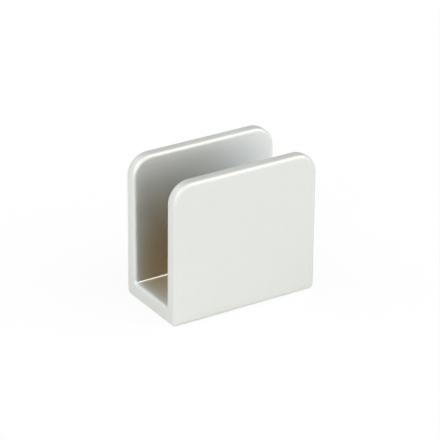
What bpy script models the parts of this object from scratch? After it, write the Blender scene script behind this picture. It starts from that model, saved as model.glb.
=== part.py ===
"""Glass shelf clip: a one-piece U-shaped fitting that holds the edge of a glass panel in its slot.

The clip is a single die casting. A thick base joins two equal jaws, the slot between them is open
at the top and at both ends, and its walls lean apart with a small casting draft. The jaws' free
corners are rounded in side view, every outer edge is rolled over with one small radius, and the
two creases where the jaws meet the slot's floor are filled with a smaller one.

Frame: the origin is at the centre of the underside. +X runs along the slot, +Y from the front jaw
to the back jaw, and +Z up out of the slot. Units are metres.
"""

import math

import bmesh
import bpy

MM = 0.001

# Slot
GLASS_THICKNESS = 8.0 * MM
GLASS_CLEARANCE = 0.15 * MM      # both sides together, at the floor of the slot
SLOT_DEPTH = 18.0 * MM           # from the floor of the slot to the top of the jaws
SLOT_DRAFT = math.radians(0.5)   # lean of each inner wall, which opens the slot upwards
CREASE_RADIUS = 0.3 * MM         # concave fillet between an inner wall and the floor

# Body
LENGTH = 22.0 * MM               # along the slot
WALL_THICKNESS = 2.0 * MM        # of a jaw, at the floor of the slot
BASE_THICKNESS = 2.2 * MM
CORNER_RADIUS = 3.0 * MM         # free corners of the jaws, in side view
EDGE_RADIUS = 0.5 * MM           # all outer edges

# Fineness of the curves
CORNER_STEPS = 16
CREASE_STEPS = 6
EDGE_STEPS = 6
SHARP_ANGLE = math.radians(30.0)  # steeper convex edges are rolled over

# Finish: satin chrome plating on the casting
CHROME_COLOUR = (0.62, 0.63, 0.61, 1.0)
CHROME_ROUGHNESS = 0.38

# Worked out from the sizes above
SLOT_WIDTH = GLASS_THICKNESS + GLASS_CLEARANCE
WIDTH = SLOT_WIDTH + 2.0 * WALL_THICKNESS
HEIGHT = BASE_THICKNESS + SLOT_DEPTH
OVERRUN = WIDTH                  # how far the two crossing blanks stand past each other


def new_collection(name):
    """A collection of the scene with this name."""
    collection = bpy.data.collections.new(name)
    bpy.context.scene.collection.children.link(collection)
    return collection


def arc(centre, radius, start, end, steps):
    """Points of a circular arc from one angle to another, both ends included."""
    angles = [start + (end - start) * step / steps for step in range(steps + 1)]
    return [(centre[0] + radius * math.cos(angle), centre[1] + radius * math.sin(angle)) for angle in angles]


def blank(name, outline, depth, rotation, collection):
    """A flat outline drawn as a curve and extruded to a closed solid, centred on its own plane."""
    curve = bpy.data.curves.new(name, "CURVE")
    curve.dimensions = "2D"
    curve.fill_mode = "BOTH"
    curve.extrude = depth / 2.0
    spline = curve.splines.new("POLY")
    spline.points.add(len(outline) - 1)
    for point, (across, up) in zip(spline.points, outline):
        point.co = (across, up, 0.0, 1.0)
    spline.use_cyclic_u = True
    drawn = bpy.data.objects.new(name + "_outline", curve)
    drawn.rotation_euler = rotation
    collection.objects.link(drawn)
    bpy.context.view_layer.update()

    evaluated = drawn.evaluated_get(bpy.context.evaluated_depsgraph_get())
    mesh = bpy.data.meshes.new_from_object(evaluated)
    mesh.transform(drawn.matrix_world)
    bpy.data.objects.remove(drawn)
    shape = bmesh.new()
    shape.from_mesh(mesh)
    bmesh.ops.remove_doubles(shape, verts=shape.verts, dist=0.001 * MM)
    bmesh.ops.dissolve_limit(shape, angle_limit=math.radians(1.0), verts=shape.verts, edges=shape.edges)
    bmesh.ops.recalc_face_normals(shape, faces=shape.faces)
    shape.to_mesh(mesh)
    shape.free()
    solid = bpy.data.objects.new(name, mesh)
    collection.objects.link(solid)
    return solid


def cross_section():
    """The U seen along the slot, as (y, z): its jaws run on past the top, to be cut to height."""
    top = HEIGHT + OVERRUN
    outer = WIDTH / 2.0
    lean = math.tan(SLOT_DRAFT)
    inner_at_floor = SLOT_WIDTH / 2.0
    inner_at_top = inner_at_floor + lean * (top - BASE_THICKNESS)
    # The crease's centre lies one radius above the floor and one radius off the leaning wall.
    crease_up = BASE_THICKNESS + CREASE_RADIUS
    crease_across = inner_at_floor + lean * CREASE_RADIUS - CREASE_RADIUS / math.cos(SLOT_DRAFT)
    wall_angle = -SLOT_DRAFT
    right_crease = arc((crease_across, crease_up), CREASE_RADIUS, wall_angle, -math.pi / 2.0, CREASE_STEPS)
    left_crease = [(-across, up) for across, up in reversed(right_crease)]
    return (
        [(-outer, 0.0), (outer, 0.0), (outer, top), (inner_at_top, top)]
        + right_crease
        + left_crease
        + [(-inner_at_top, top), (-outer, top)]
    )


def side_outline():
    """The jaws seen from the side, as (x, z): round free corners, and square past the underside."""
    half = LENGTH / 2.0
    across = half - CORNER_RADIUS
    up = HEIGHT - CORNER_RADIUS
    right = arc((across, up), CORNER_RADIUS, 0.0, math.pi / 2.0, CORNER_STEPS)
    left = arc((-across, up), CORNER_RADIUS, math.pi / 2.0, math.pi, CORNER_STEPS)
    return [(-half, -OVERRUN), (half, -OVERRUN)] + right + left


def satin_chrome():
    """Satin chrome plating."""
    material = bpy.data.materials.new("satin_chrome")
    material.use_nodes = True
    shader = material.node_tree.nodes["Principled BSDF"]
    shader.inputs["Base Color"].default_value = CHROME_COLOUR
    shader.inputs["Metallic"].default_value = 1.0
    shader.inputs["Roughness"].default_value = CHROME_ROUGHNESS
    return material


def clip_body(parts, cutters):
    """The casting: the U's section, cut to the side outline, with all its outer edges rolled over."""
    along_x = (math.pi / 2.0, 0.0, math.pi / 2.0)
    along_y = (math.pi / 2.0, 0.0, 0.0)
    body = blank("clip_body", cross_section(), LENGTH + 2.0 * OVERRUN, along_x, parts)
    side = blank("side_cutter", side_outline(), WIDTH + 2.0 * OVERRUN, along_y, cutters)
    side.display_type = "WIRE"
    side.hide_render = True

    trim = body.modifiers.new("cut_to_side_outline", "BOOLEAN")
    trim.operation = "INTERSECT"
    trim.solver = "EXACT"
    trim.object = side

    roll = body.modifiers.new("rolled_edges", "BEVEL")
    roll.width = EDGE_RADIUS
    roll.offset_type = "OFFSET"
    roll.segments = EDGE_STEPS
    roll.limit_method = "ANGLE"
    roll.angle_limit = SHARP_ANGLE
    roll.use_clamp_overlap = False
    roll.harden_normals = True

    body.data.materials.append(satin_chrome())
    body.data.shade_smooth()
    return body


def main():
    for item in list(bpy.data.objects):
        bpy.data.objects.remove(item)
    parts = new_collection("glass_shelf_clip")
    cutters = new_collection("cutters")
    clip_body(parts, cutters)


main()
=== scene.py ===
import math

import bmesh
import bpy
import numpy as np
from mathutils import Matrix, Vector


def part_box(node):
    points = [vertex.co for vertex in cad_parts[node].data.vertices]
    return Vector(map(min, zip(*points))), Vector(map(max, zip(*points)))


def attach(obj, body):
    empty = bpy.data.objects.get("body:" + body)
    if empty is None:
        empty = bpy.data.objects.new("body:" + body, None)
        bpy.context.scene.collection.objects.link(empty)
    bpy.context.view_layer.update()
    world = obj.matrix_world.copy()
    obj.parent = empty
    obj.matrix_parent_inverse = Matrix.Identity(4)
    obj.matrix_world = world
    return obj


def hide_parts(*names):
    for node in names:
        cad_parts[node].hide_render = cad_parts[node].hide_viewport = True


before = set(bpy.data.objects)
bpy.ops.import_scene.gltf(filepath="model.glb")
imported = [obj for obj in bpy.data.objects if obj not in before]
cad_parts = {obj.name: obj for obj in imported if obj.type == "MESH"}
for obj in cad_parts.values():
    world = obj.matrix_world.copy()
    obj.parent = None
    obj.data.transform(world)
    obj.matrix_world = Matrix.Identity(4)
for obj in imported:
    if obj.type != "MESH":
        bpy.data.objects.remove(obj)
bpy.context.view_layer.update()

mm = 0.001


# Small helpers

def linearOf(hexCode):
    # sRGB hex to linear: c / 12.92 near black, ((c + 0.055) / 1.055) ^ 2.4 above it
    parts = [int(hexCode[i:i + 2], 16) / 255 for i in (1, 3, 5)]
    return tuple(c / 12.92 if c <= 0.04045 else ((c + 0.055) / 1.055) ** 2.4 for c in parts) + (1.0,)


def addNode(tree, kind, settings=None, links=None):
    # settings: an attribute's name, or an input's name or number, to its value
    # links: an input's name or number to the socket that feeds it
    node = tree.nodes.new(kind)
    for key, value in (settings or {}).items():
        if isinstance(key, str) and hasattr(node, key):
            setattr(node, key, value)
        else:
            node.inputs[key].default_value = value
    for key, socket in (links or {}).items():
        tree.links.new(socket, node.inputs[key])
    return node


def newMaterial(name):
    material = bpy.data.materials.new(name)
    material.use_nodes = True
    material.node_tree.nodes.clear()
    return material, material.node_tree


# Camera: a long lens, looking down on the clip's left front corner

view = {
    "azimuth": -32.462,        # degrees round from the front, negative to the left
    "elevation": 25.606,       # degrees above the floor
    "roll": 0.479,             # degrees
    "distance": 323.91 * mm,
    "aimRight": -0.1698 * mm,  # where the lens points, off the clip's middle
    "aimUp": 0.3495 * mm,
    "lens": 200.0,             # mm
    "sensor": 36.0,            # mm wide
    "nearest": 10 * mm,        # the camera sees nothing nearer than this
    "farthest": 10.0,          # m, or farther than this
}


def makeCamera(view, middle):
    az, el, roll = (math.radians(view[k]) for k in ("azimuth", "elevation", "roll"))
    back = Vector((math.sin(az) * math.cos(el), -math.cos(az) * math.cos(el), math.sin(el)))
    right = Vector((math.cos(az), math.sin(az), 0.0))
    up = back.cross(right)
    across = math.cos(roll) * right + math.sin(roll) * up
    above = back.cross(across)
    place = middle + view["aimRight"] * across + view["aimUp"] * above + view["distance"] * back
    data = bpy.data.cameras.new("camera")
    data.sensor_width = view["sensor"]
    data.lens = view["lens"]
    data.clip_start = view["nearest"]
    data.clip_end = view["farthest"]
    camera = bpy.data.objects.new("camera", data)
    turn = Matrix((across, above, back)).transposed()
    camera.matrix_world = Matrix.Translation(place) @ turn.to_4x4()
    bpy.context.scene.collection.objects.link(camera)
    bpy.context.scene.camera = camera


low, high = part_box("clip_body")
makeCamera(view, Vector((0.0, 0.0, (low.z + high.z) / 2)))
print("camera placed")


# Clip: one casting. Its overall size is the frame's, the rest is given here

clip = {
    "length": high.x - low.x,
    "width": high.y - low.y,
    "height": high.z - low.z,
    "slot": 8.15 * mm,       # wide, at its floor
    "base": 2.24 * mm,       # thick
    "draft": 0.5,            # degrees that each inner wall leans out
    "corner": 3.0 * mm,      # radius of the jaws' free corners
    "edge": 0.8 * mm,        # reach of the rolled edges into each face, round the ends and tops
    "foot": 1.1 * mm,        # and along the bottom of both jaws
    "edgePower": 3.5,        # 2 would be a plain radius. This eases into the faces, and with a reach of
                             # 0.8 mm it cuts off as much of the corner as a radius of 0.5 mm does
    "crease": 0.5 * mm,      # radius in the slot's two creases
    "cornerRows": 32,        # rows of faces round a free corner
    "wallRows": 24,          # down a jaw
    "turnRows": 12,          # round a crease or a bottom edge
    "floorRows": 20,         # across the base
    "crowding": 1.6,         # above 1, the rows of jaw and base come closer together near the turns
    "columns": 40,           # along the slot
    "edgeSteps": 16,         # across a rolled edge
    "rimSteps": 4,           # across a flat end or top
    "weld": 0.0005 * mm,     # points this near to each other become one
    "sliver": 0.0001 * mm,   # edges this short are dropped
    "mouthReach": 6.0 * mm,  # the chrome thins out, and painted shade darkens the colour, by this depth below the slot's mouth
    "endReach": 2.7 * mm,    # and by this distance from its ends, at the height of the mouth
    "endTaper": 0.66,        # how much less far it reaches in from an end at the bottom of the slot, painting shade into its lower ends
    "endShare": 0.76,        # how much of it reaches in from an end
    "thinCoverAndShade": 0.06,       # the least cover, deep in the slot, where nickel and the darkest painted shade show
    "creaseHighlightCover": 0.2,      # and the least in its creases, raised in their middle as a painted highlight
    "wallBlast": 0.6,        # how much of the blast reaches the walls deep in the slot
    "slotBand": 1.3,         # how far past its walls the slot's finish may reach, in rolled edges
    "wallUp": (0.4, 0.6),    # round a crease, where 0 is the wall's foot, its finish ends between these
    "floorUp": (0.85, 1.0),  # and the floor's begins between these, where 1 is the floor
}


def rolledEdge(steps, power):
    # A quarter turn that eases into both its faces, as tumbling leaves it: u^power + v^power = 1 with
    # u = cos(a)^(2 / power) and v = sin(a)^(2 / power), a from 0 to 90 degrees
    a = np.linspace(0.0, np.pi / 2, steps + 1)
    return np.abs([np.cos(a), np.sin(a)]) ** (2 / power)


def half(clip):
    # Rows of one jaw and half the base, seen along the slot, from the jaw's top to the middle.
    # Inner and outer lines: corner rows at z = H - R + R sin a, a from 90 to 0 degrees, then straight
    # down the wall, then the turn, then flat to y = 0. The turn is a rolled edge of reach r outside,
    # and the arc y = yc + c cos b, z = zc + c sin b inside.
    # (outward y, outward z) is a line's normal, but on the rolled turn it is (u, -v), which leads back
    # to the turn's middle.
    # Returned for the back jaw, y > 0, as dictionaries of arrays.
    H, R, r, c = clip["height"], clip["corner"], clip["foot"], clip["crease"]
    lean = math.radians(clip["draft"])
    a = np.linspace(np.pi / 2, 0.0, clip["cornerRows"] + 1)
    cornerZ = H - R + R * np.sin(a)
    wall = 1 - np.linspace(1.0, 0.0, clip["wallRows"] + 1)[1:] ** clip["crowding"]
    turn = np.linspace(0.0, 1.0, clip["turnRows"] + 1)[1:]
    flat = np.linspace(0.0, 1.0, clip["floorRows"] // 2 + 1)[1:] ** clip["crowding"]

    outY = clip["width"] / 2
    downZ = cornerZ[-1] + (r - cornerZ[-1]) * wall
    u, v = rolledEdge(clip["turnRows"], clip["edgePower"])[:, 1:]
    outer = {
        "y": np.concatenate([0 * a + outY, 0 * wall + outY, outY - r + r * u, (outY - r) * (1 - flat)]),
        "z": np.concatenate([cornerZ, downZ, r - r * v, 0 * flat]),
        "outward y": np.concatenate([0 * a + 1, 0 * wall + 1, u, 0 * flat]),
        "outward z": np.concatenate([0 * a, 0 * wall, -v, 0 * flat - 1]),
    }

    inY = clip["slot"] / 2
    floorZ = clip["base"]
    zc = floorZ + c
    yc = inY + math.tan(lean) * c - c / math.cos(lean)
    wallEnd = zc - c * math.sin(lean)
    wallZ = cornerZ[-1] + (wallEnd - cornerZ[-1]) * wall
    b = -lean - turn * (np.pi / 2 - lean)
    lineY = inY + math.tan(lean) * (np.concatenate([cornerZ, wallZ]) - floorZ)
    inner = {
        "y": np.concatenate([lineY, yc + c * np.cos(b), yc * (1 - flat)]),
        "z": np.concatenate([cornerZ, wallZ, zc + c * np.sin(b), 0 * flat + floorZ]),
        "outward y": np.concatenate([0 * lineY - math.cos(lean), -np.cos(b), 0 * flat]),
        "outward z": np.concatenate([0 * lineY + math.sin(lean), -np.sin(b), 0 * flat + 1]),
    }

    # the side outline at each row: half-length X = L/2 - R + R cos a, facing (cos a, sin a) in x and z
    rest = len(outer["y"]) - len(a)
    turned = np.concatenate([a, np.zeros(rest)])
    side = {
        "x": clip["length"] / 2 - R + R * np.cos(turned),
        "outward x": np.cos(turned),
        "outward z": np.sin(turned),
    }
    return outer, inner, side


def whole(line, flipY):
    # The half line continued, from the front jaw's top through the middle to the back jaw's top.
    # What flipY names changes sign on the front jaw.
    out = {}
    for key, values in line.items():
        sign = -1.0 if key in flipY else 1.0
        out[key] = np.concatenate([sign * values, values[-2::-1]])
    return out


def clipSurface(clip):
    # Two sheets, outer and inner, each a grid of rows and columns, and a rim that joins their borders.
    # The rim is a profile carried round the border: at border point E, with m the sheet's outward way
    # and n the rim's normal, the rolled edge is C + r (u n + v m), where C = E - r (n + m) / (1 + n.m).
    outer, inner, side = half(clip)
    side = whole(side, ())
    sheets = [whole(line, ("y", "outward y")) for line in (outer, inner)]
    r, rows, cols = clip["edge"], len(side["x"]), clip["columns"]

    # the border as a closed loop: left side, back jaw's top, right side, front jaw's top
    j = np.arange(rows)
    t = np.linspace(-1.0, 1.0, cols + 1)[1:-1]
    row = np.concatenate([j, 0 * t + rows - 1, j[::-1], 0 * t]).astype(int)
    share = np.concatenate([0.0 * j - 1, t, 0.0 * j + 1, -t])
    onSide = np.abs(share) == 1.0
    sign = np.where(onSide, share, 0.0)
    n = np.stack([sign * side["outward x"][row], 0.0 * share,
                  np.where(onSide, side["outward z"][row], 1.0)], 1)

    u, v = rolledEdge(clip["edgeSteps"], clip["edgePower"])[:, :, None, None]
    edges = []
    for line in sheets:
        e = np.stack([share * side["x"][row], line["y"][row], line["z"][row]], 1)
        m = np.stack([0.0 * share, line["outward y"][row], line["outward z"][row]], 1)
        centre = e - r * (n + m) / (1 + (n * m).sum(1, keepdims=True))
        edges.append(centre + r * (u * n + v * m))
    outEdge, inEdge = edges

    s = np.linspace(0.0, 1.0, clip["rimSteps"] + 1)[1:-1, None, None]
    rim = np.concatenate([outEdge[::-1], outEdge[0] + s * (inEdge[0] - outEdge[0]), inEdge])
    steps, around = rim.shape[:2]

    # each sheet's rows run straight between its left and right borders
    t = np.linspace(0.0, 1.0, cols + 1)[None, :, None]
    points = [rim.reshape(-1, 3)]
    for edge in (outEdge[-1], inEdge[-1]):
        left = edge[:rows]
        right = edge[rows + cols - 1:2 * rows + cols - 1][::-1]
        points.append((left[:, None] * (1 - t) + right[:, None] * t).reshape(-1, 3))

    ids = np.arange(steps * around).reshape(steps, around)
    ids = np.concatenate([ids, ids[:, :1]], 1)
    faces = [quads(ids, False)]
    start = steps * around
    for turned in (True, False):
        ids = start + np.arange(rows * (cols + 1)).reshape(rows, cols + 1)
        faces.append(quads(ids, turned))
        start += rows * (cols + 1)
    return np.concatenate(points), np.concatenate(faces)


def quads(ids, turned):
    # faces between the rows and columns of a grid of vertex numbers
    face = np.stack([ids[:-1, :-1], ids[:-1, 1:], ids[1:, 1:], ids[1:, :-1]], -1).reshape(-1, 4)
    return face[:, ::-1] if turned else face


def rise(values, band):
    # 0 below the band, 1 above it, and a straight line between
    start, end = band
    return np.clip((values - start) / (end - start), 0.0, 1.0)


def slotZones(points, clip):
    # Shares from 0 to 1 at each point, which the finish uses:
    # inSlot rises from 0 outside to 1 over the rolled edge, by the depth inside the side outline
    # up is how far the surface faces up, 0 on a wall and 1 on the floor
    # the cover = 1 - (1 - from the mouth) * (1 - from the ends), which thins the chrome and paints
    # shade deeper into the slot, where
    #     from the mouth = exp(-depth below it / mouthReach)
    #     from the ends = endShare * exp(-distance from them / reach there)
    # blast is 1 outside and on the floor, which it falls straight on, less on the walls, where it
    # follows the cover, and 0 in the middle of the crease's radius, which it misses. There the cover
    # is raised, which paints a highlight into the crease
    x, y, z = np.abs(points.T)
    R, c = clip["corner"], clip["crease"]
    toMouth = clip["height"] - z
    toEnd = clip["length"] / 2 - x
    roundCorner = (toMouth < R) & (toEnd < R)
    inward = np.where(roundCorner, R - np.hypot(R - toEnd, R - toMouth), np.minimum(toEnd, toMouth))
    inner = (y < clip["slot"] / 2 + clip["slotBand"] * clip["edge"]) & (z > clip["base"] - clip["edge"])
    up = np.clip((clip["base"] + c - z) / c, 0.0, 1.0)
    # the reach from the ends shrinks towards the slot's bottom, which paints shade into its lower ends
    endReach = clip["endReach"] * (1 - clip["endTaper"] * toMouth / clip["height"])
    fromMouth = np.exp(-toMouth / clip["mouthReach"])
    fromEnds = clip["endShare"] * np.exp(-toEnd / endReach)
    # cover: lower deeper in the slot, for thinner chrome and painted shade
    shadedCover = np.maximum(1 - (1 - fromMouth) * (1 - fromEnds), clip["thinCoverAndShade"])
    inSlot = inner * rise(inward, (0.0, clip["edge"]))
    thick = rise(shadedCover, (clip["thinCoverAndShade"], 1.0))
    wall = 1 - rise(up, clip["wallUp"])
    floor = rise(up, clip["floorUp"])
    blast = (clip["wallBlast"] + (1 - clip["wallBlast"]) * thick) * wall + floor
    return {
        "inSlot": inSlot,
        # lower deep in the slot for thinner chrome and painted shade, and raised in the creases' middle
        # as a painted highlight
        "coverAndShade": np.maximum(shadedCover, clip["creaseHighlightCover"] * (1 - wall - floor)),
        "blast": 1 - inSlot * (1 - blast),
    }


def addClip(clip):
    points, faces = clipSurface(clip)
    mesh = bpy.data.meshes.new("clip")
    mesh.from_pydata(points.tolist(), [], faces.tolist())
    shape = bmesh.new()
    shape.from_mesh(mesh)
    bmesh.ops.remove_doubles(shape, verts=shape.verts, dist=clip["weld"])
    bmesh.ops.dissolve_degenerate(shape, dist=clip["sliver"], edges=shape.edges)
    bmesh.ops.recalc_face_normals(shape, faces=shape.faces)
    shape.to_mesh(mesh)
    shape.free()
    mesh.shade_smooth()
    place = np.empty(len(mesh.vertices) * 3, np.float32)
    mesh.vertices.foreach_get("co", place)
    for name, share in slotZones(place.reshape(-1, 3), clip).items():
        mesh.attributes.new(name, "FLOAT", "POINT").data.foreach_set("value", share.astype(np.float32))
    piece = bpy.data.objects.new("clip", mesh)
    bpy.context.scene.collection.objects.link(piece)
    even = piece.modifiers.new("flat faces stay flat", "WEIGHTED_NORMAL")
    even.mode = "FACE_AREA"
    even.weight = 100
    return piece


def satinChrome():
    # Zinc casting, tumbled smooth, plated with nickel and a thin coat of chrome, and blasted satin.
    # The eye gets a soft, even silver with blurred reflections. In the slot, where the blast and the
    # plating bath hardly reach, it is smoother, and the chrome thins to the warmer, darker nickel. Its
    # colour there also holds painted shade, darker deeper in the slot and at its lower ends, painted
    # light just inside the mouth, and a painted highlight in the creases' middle.
    finish = {
        "satin": "#E3E5E1",         # outside
        "fullChromeAndLight": "#F0F0EE",        # just inside the slot, where the cover is 1: full chrome, lighter than the satin outside as painted light
        "thinChromeAndShade": "#D5DADA",          # where the cover is thinAt: thinner chrome and painted shade
        "thinAt": 0.5,
        "nickelAndShade": "#C5B8A0",        # where the cover is least: nickel, darkened further as painted shade
        "roughness": 0.58,          # where it was blasted, outside
        "smoothRoughness": 0.12,    # where the blast missed it, in the slot's creases
        "grain": 0.12 * mm,         # the real grain is about 0.02 mm, drawn coarser so that it shows
        "grainDepth": 0.0006 * mm,
        "cloud": 3.0 * mm,          # patches a little more or less matt
        "cloudSpread": 0.03,        # of the roughness, up or down
        "cloudValues": (0.3, 0.7),  # the noise's values at the spread's two ends
    }
    material, tree = newMaterial("satin chrome on cast zinc")
    place = addNode(tree, "ShaderNodeTexCoord").outputs["Object"]
    inSlot, shadedCover, blast = (
        addNode(tree, "ShaderNodeAttribute", {"attribute_name": name}).outputs["Fac"]
        for name in ("inSlot", "coverAndShade", "blast")
    )
    # colour by cover: nickel deep in the slot, darkened as painted shade, up to chrome lit as painted
    # light just inside the mouth
    platingAndShade = addNode(tree, "ShaderNodeValToRGB", None, {"Fac": shadedCover})
    ramp = platingAndShade.color_ramp.elements
    ramp[0].position, ramp[0].color = clip["thinCoverAndShade"], linearOf(finish["nickelAndShade"])
    # the ramp's top, lighter than the satin outside, is painted light just inside the mouth
    ramp[1].position, ramp[1].color = 1.0, linearOf(finish["fullChromeAndLight"])
    ramp.new(finish["thinAt"]).color = linearOf(finish["thinChromeAndShade"])
    colour = addNode(tree, "ShaderNodeMix", {"data_type": "RGBA", "A": linearOf(finish["satin"])},
                     {"Factor": inSlot, "B": platingAndShade.outputs["Color"]})

    matt = addNode(tree, "ShaderNodeMapRange", {
        "To Min": finish["smoothRoughness"], "To Max": finish["roughness"],
    }, {"Value": blast})
    cloud = addNode(tree, "ShaderNodeTexNoise", {"Scale": 1 / finish["cloud"], "Detail": 3.0},
                    {"Vector": place})
    lowNoise, highNoise = finish["cloudValues"]
    patchy = addNode(tree, "ShaderNodeMapRange", {
        "From Min": lowNoise, "From Max": highNoise,
        "To Min": -finish["cloudSpread"], "To Max": finish["cloudSpread"],
    }, {"Value": cloud.outputs["Fac"]})
    rough = addNode(tree, "ShaderNodeMath", {"operation": "ADD"},
                    {0: matt.outputs[0], 1: patchy.outputs[0]})

    grain = addNode(tree, "ShaderNodeTexNoise", {"Scale": 1 / finish["grain"], "Detail": 2.0},
                    {"Vector": place})
    bump = addNode(tree, "ShaderNodeBump", {"Strength": 1.0, "Distance": finish["grainDepth"]},
                   {"Height": grain.outputs["Fac"]})
    shader = addNode(tree, "ShaderNodeBsdfPrincipled", {"Metallic": 1.0}, {
        "Base Color": colour.outputs["Result"],
        "Roughness": rough.outputs[0],
        "Normal": bump.outputs["Normal"],
    })
    addNode(tree, "ShaderNodeOutputMaterial", None, {"Surface": shader.outputs[0]})
    return material


body = addClip(clip)
body.data.materials.append(satinChrome())
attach(body, "root")
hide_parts("clip_body")
print("clip:", len(body.data.vertices), "points,", len(body.data.polygons), "faces")


# Studio: a white floor in an even pale room, with six large soft lights that fade out at their edges

studio = {
    "floor": "#EDEDED",
    "floorSize": 3.0,        # m, each way
    "floorGap": 0.02 * mm,   # under the clip, so that they share no plane
    "seenWhite": 0.85,       # how far the camera sees the floor as plain white
    "mirroredWhite": 0.05,   # how far reflections see floor and room so
    "room": "#FFFFFF",
    "roomLevel": 0.43,       # brightness, where 1 is white
    "fade": 8.0,             # higher makes the soft lights smaller
    "lights": {              # degrees round from the front, to the right; degrees up; level added
        "right front, high": (60, 50, 1.7),
        "left back, high": (240, 50, 1.45),
        "front, high": (0, 50, 0.5),
        "right front, low": (35, 12, 1.1),
        "left front, low": (315, 15, 1.25),
        "left, low": (270, 15, 0.8),
    },
}


def whiteShare(tree, seen, mirrored):
    # How far a ray finds plain white: one share for the camera's own rays, and one for reflected and
    # refracted ones
    path = addNode(tree, "ShaderNodeLightPath")
    share = addNode(tree, "ShaderNodeMath", {"operation": "MULTIPLY", 1: seen},
                    {0: path.outputs["Is Camera Ray"]})
    for ray in ("Is Glossy Ray", "Is Transmission Ray"):
        share = addNode(tree, "ShaderNodeMath", {"operation": "MULTIPLY_ADD", 1: mirrored},
                        {0: path.outputs[ray], 2: share.outputs[0]})
    return share.outputs[0]


def addFloor(studio):
    # Matt white board. The camera sees it most of the way to plain white, so that its shadow is faint,
    # and reflections see it a little that way
    material, tree = newMaterial("matt white studio board")
    board = addNode(tree, "ShaderNodeBsdfPrincipled", {
        "Base Color": linearOf(studio["floor"]), "Roughness": 0.9, "Specular IOR Level": 0.0,
    })
    white = addNode(tree, "ShaderNodeEmission", {"Strength": 1.0})
    surface = addNode(tree, "ShaderNodeMixShader", None, {
        0: whiteShare(tree, studio["seenWhite"], studio["mirroredWhite"]),
        1: board.outputs[0],
        2: white.outputs[0],
    })
    addNode(tree, "ShaderNodeOutputMaterial", None, {"Surface": surface.outputs[0]})
    reach = studio["floorSize"] / 2
    z = -studio["floorGap"]
    corners = [(-reach, -reach, z), (reach, -reach, z), (reach, reach, z), (-reach, reach, z)]
    mesh = bpy.data.meshes.new("floor")
    mesh.from_pydata(corners, [], [(0, 1, 2, 3)])
    mesh.materials.append(material)
    floor = bpy.data.objects.new("floor", mesh)
    bpy.context.scene.collection.objects.link(floor)


def addRoom(studio):
    # brightness = room level + the sum of each light's level * (cosine of the angle to it, at least 0)
    # ^ fade. The camera sees it as plain white, and reflections see it a little that way
    world = bpy.data.worlds.new("room")
    world.use_nodes = True
    tree = world.node_tree
    tree.nodes.clear()
    direction = addNode(tree, "ShaderNodeTexCoord").outputs["Generated"]
    total = addNode(tree, "ShaderNodeMath", {"operation": "ADD", 0: studio["roomLevel"], 1: 0.0})
    for name, (azimuth, elevation, level) in studio["lights"].items():
        az, el = math.radians(azimuth), math.radians(elevation)
        aim = (math.sin(az) * math.cos(el), -math.cos(az) * math.cos(el), math.sin(el))
        facing = addNode(tree, "ShaderNodeVectorMath",
                         {"operation": "DOT_PRODUCT", "label": name, 1: aim}, {0: direction})
        front = addNode(tree, "ShaderNodeMath", {"operation": "MAXIMUM", 1: 0.0},
                        {0: facing.outputs["Value"]})
        faded = addNode(tree, "ShaderNodeMath", {"operation": "POWER", 1: studio["fade"]},
                        {0: front.outputs[0]})
        total = addNode(tree, "ShaderNodeMath", {"operation": "MULTIPLY_ADD", 1: level},
                        {0: faded.outputs[0], 2: total.outputs[0]})
    level = addNode(tree, "ShaderNodeMix", {"B": 1.0},
                    {"Factor": whiteShare(tree, 1.0, studio["mirroredWhite"]), "A": total.outputs[0]})
    shade = addNode(tree, "ShaderNodeBackground", {"Color": linearOf(studio["room"])},
                    {"Strength": level.outputs["Result"]})
    addNode(tree, "ShaderNodeOutputWorld", None, {"Surface": shade.outputs[0]})
    bpy.context.scene.world = world


addFloor(studio)
addRoom(studio)
bpy.context.scene.view_settings.view_transform = "Standard"
print("studio lit")
